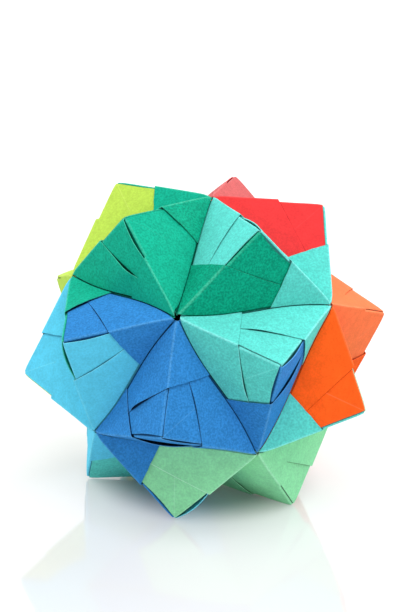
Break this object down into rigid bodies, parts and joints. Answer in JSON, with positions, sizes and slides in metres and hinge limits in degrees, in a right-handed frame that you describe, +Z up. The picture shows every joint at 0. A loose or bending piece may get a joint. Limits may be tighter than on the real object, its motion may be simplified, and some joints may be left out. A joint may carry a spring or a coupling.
{
  "type": "modular paper ball",
  "caption": "Spiked paper ball of interlocked folded units in rainbow colours, with a square-cornered pyramid on every face; stands by itself as an ornament.",
  "frame": {"origin": "middle of the ball's footprint box, on the surface that it stands on", "axes": "+Z up; -Y is the side that faces the viewer; the ball stands on its bottom corner and leans onto two tips beside it"},
  "size_m": [0.086, 0.0838, 0.0728],
  "materials": {
    "dark_green_paper": "matte, uncoated",
    "emerald_paper": "matte, uncoated",
    "turquoise_paper": "matte, uncoated",
    "blue_paper": "matte, uncoated",
    "sky_blue_paper": "matte, uncoated",
    "light_green_paper": "matte, uncoated",
    "lime_paper": "matte, uncoated",
    "yellow_paper": "matte, uncoated",
    "orange_paper": "matte, uncoated",
    "salmon_paper": "matte, uncoated",
    "red_paper": "matte, uncoated",
    "rose_paper": "matte, uncoated"
  },
  "bodies": {
    "root": {"top_unit_1": "dark_green_paper", "top_unit_2": "turquoise_paper", "top_unit_3": "red_paper", "top_unit_4": "rose_paper", "top_unit_5": "emerald_paper", "upper_unit_1": "turquoise_paper", "upper_unit_2": "salmon_paper", "upper_unit_3": "red_paper", "upper_unit_4": "lime_paper", "upper_unit_5": "emerald_paper", "waist_down_unit_1": "blue_paper", "waist_down_unit_2": "orange_paper", "waist_down_unit_3": "red_paper", "waist_down_unit_4": "lime_paper", "waist_down_unit_5": "sky_blue_paper", "waist_up_unit_1": "turquoise_paper", "waist_up_unit_2": "salmon_paper", "waist_up_unit_3": "yellow_paper", "waist_up_unit_4": "lime_paper", "waist_up_unit_5": "blue_paper", "lower_unit_1": "light_green_paper", "lower_unit_2": "orange_paper", "lower_unit_3": "lime_paper", "lower_unit_4": "sky_blue_paper", "lower_unit_5": "blue_paper", "bottom_unit_1": "light_green_paper", "bottom_unit_2": "light_green_paper", "bottom_unit_3": "lime_paper", "bottom_unit_4": "turquoise_paper", "bottom_unit_5": "sky_blue_paper"}
  },
  "joints": []
}
